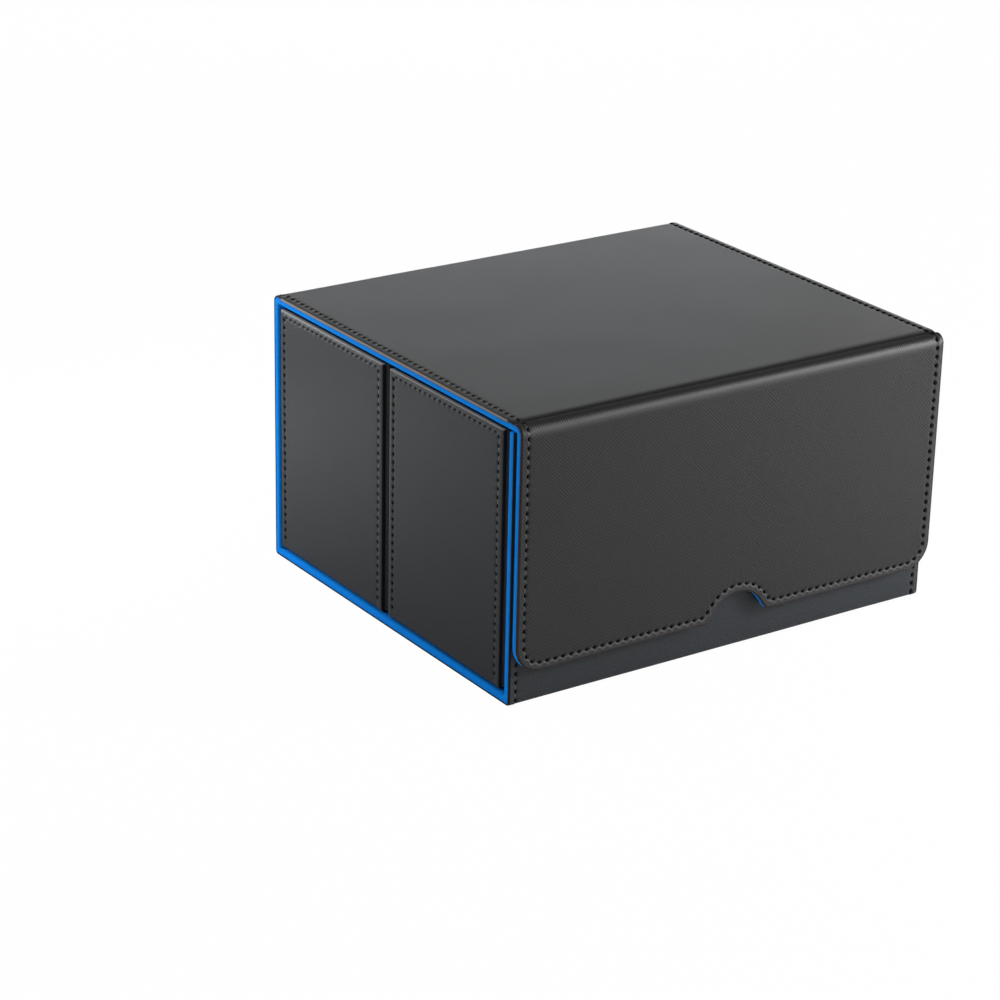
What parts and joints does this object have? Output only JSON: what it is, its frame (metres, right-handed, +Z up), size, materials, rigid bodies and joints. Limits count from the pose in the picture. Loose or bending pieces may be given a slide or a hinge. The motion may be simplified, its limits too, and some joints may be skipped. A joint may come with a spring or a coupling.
{
  "type": "card storage box",
  "caption": "Card storage box: a folded black leather case with a hinged lid and magnetic flap, lined in blue felt, holding side-by-side drawers.",
  "frame": {"origin": "centre of the closed box's footprint, on the surface it stands on", "axes": "+X to the right along the front, +Y to the hinged back edge, +Z up; the flap faces -Y and the drawers pull out towards -X"},
  "size_m": [0.201, 0.177, 0.113],
  "materials": {
    "black_leather": "satin grain",
    "blue_felt": "matt felt",
    "greyboard": "matt",
    "steel": "plated"
  },
  "bodies": {
    "case": {"case_cover": "black_leather", "case_lining": "blue_felt", "front_wall_board": "greyboard", "bottom_board": "greyboard", "back_wall_board": "greyboard", "front_wall_plates": "steel"},
    "lid": {"lid_cover": "black_leather", "lid_board": "greyboard", "lid_lining": "blue_felt"},
    "flap": {"flap_cover": "black_leather", "flap_board": "greyboard", "flap_lining": "blue_felt", "flap_magnets": "steel"},
    "rear_drawer": {"rear_drawer_band": "black_leather", "rear_drawer_cover": "black_leather", "rear_drawer_floor_board": "greyboard", "rear_drawer_rear_board": "greyboard", "rear_drawer_front_board": "greyboard", "rear_drawer_left_board": "greyboard", "rear_drawer_right_board": "greyboard", "rear_drawer_lining": "blue_felt"},
    "front_drawer": {"front_drawer_band": "black_leather", "front_drawer_cover": "black_leather", "front_drawer_floor_board": "greyboard", "front_drawer_rear_board": "greyboard", "front_drawer_front_board": "greyboard", "front_drawer_left_board": "greyboard", "front_drawer_right_board": "greyboard", "front_drawer_lining": "blue_felt"}
  },
  "joints": [
    {"name": "lid_hinge", "type": "hinge", "parent": "case", "child": "lid", "pos_m": [0, 0.08777, 0.11227], "axis": [-1, 0, 0], "range_deg": [0, 180]},
    {"name": "flap_hinge", "type": "hinge", "parent": "lid", "child": "flap", "pos_m": [0, -0.08733, 0.11183], "axis": [-1, 0, 0], "range_deg": [0, 90]},
    {"name": "rear_drawer_slide", "type": "slide", "parent": "case", "child": "rear_drawer", "axis": [-1, 0, 0], "range_m": [0, 0.16]},
    {"name": "front_drawer_slide", "type": "slide", "parent": "case", "child": "front_drawer", "axis": [-1, 0, 0], "range_m": [0, 0.16]}
  ]
}
